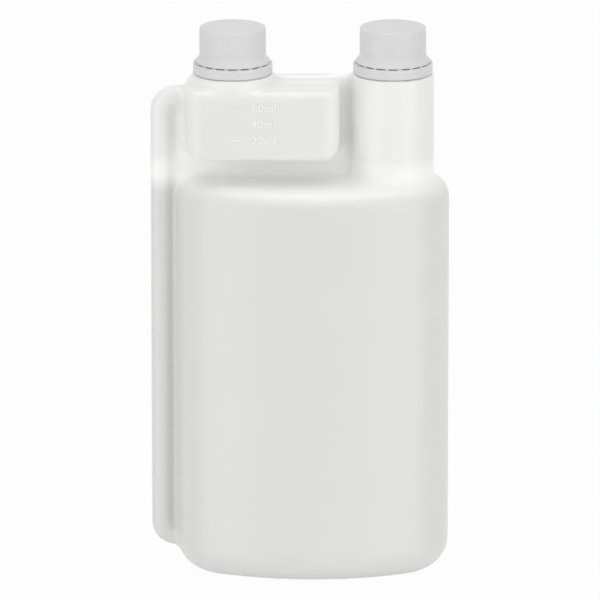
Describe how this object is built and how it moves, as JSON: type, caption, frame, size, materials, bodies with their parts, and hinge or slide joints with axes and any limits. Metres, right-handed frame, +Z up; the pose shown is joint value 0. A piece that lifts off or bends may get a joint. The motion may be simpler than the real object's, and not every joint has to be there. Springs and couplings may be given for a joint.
{
  "type": "dosing bottle",
  "caption": "Upright oval squeeze bottle with a side tube that fills a measuring chamber, a dosing neck and a filling neck, each with a tamper-band screw cap.",
  "frame": {"origin": "middle of the bottle's bounding box at the foot, on the surface it stands on", "axes": "+Z up, +X from the side tube and dosing neck towards the filling neck, -Y towards the dose scale on the front"},
  "size_m": [0.1358, 0.071, 0.2544],
  "materials": {
    "natural_hdpe": "satin blow-moulded natural polyethylene, milky and slightly translucent",
    "cap_plastic": "satin moulded polypropylene",
    "liner_foam": "matt expanded polyethylene foam"
  },
  "bodies": {
    "bottle": {"bottle": "natural_hdpe", "dosing_band": "cap_plastic", "fill_band": "cap_plastic"},
    "dosing_liner": {"dosing_liner": "liner_foam"},
    "dosing_cap": {"dosing_cap": "cap_plastic"},
    "fill_liner": {"fill_liner": "liner_foam"},
    "fill_cap": {"fill_cap": "cap_plastic"}
  },
  "joints": [
    {"name": "dosing_cap_lift", "type": "slide", "parent": "bottle", "child": "dosing_liner", "axis": [0, 0, 1], "range_m": [0, 0.02545]},
    {"name": "dosing_cap_turn", "type": "hinge", "parent": "dosing_liner", "child": "dosing_cap", "pos_m": [-0.0305, 0, 0.2454], "axis": [0, 0, 1], "range_deg": [0, 2160]},
    {"name": "fill_cap_lift", "type": "slide", "parent": "bottle", "child": "fill_liner", "axis": [0, 0, 1], "range_m": [0, 0.02545]},
    {"name": "fill_cap_turn", "type": "hinge", "parent": "fill_liner", "child": "fill_cap", "pos_m": [0.0421, 0, 0.2454], "axis": [0, 0, 1], "range_deg": [0, 2160]}
  ],
  "couplings": [
    {"joint": "dosing_cap_lift", "follows": "dosing_cap_turn", "m_per_rad": 0.00067376},
    {"joint": "fill_cap_lift", "follows": "fill_cap_turn", "m_per_rad": 0.00067376}
  ]
}
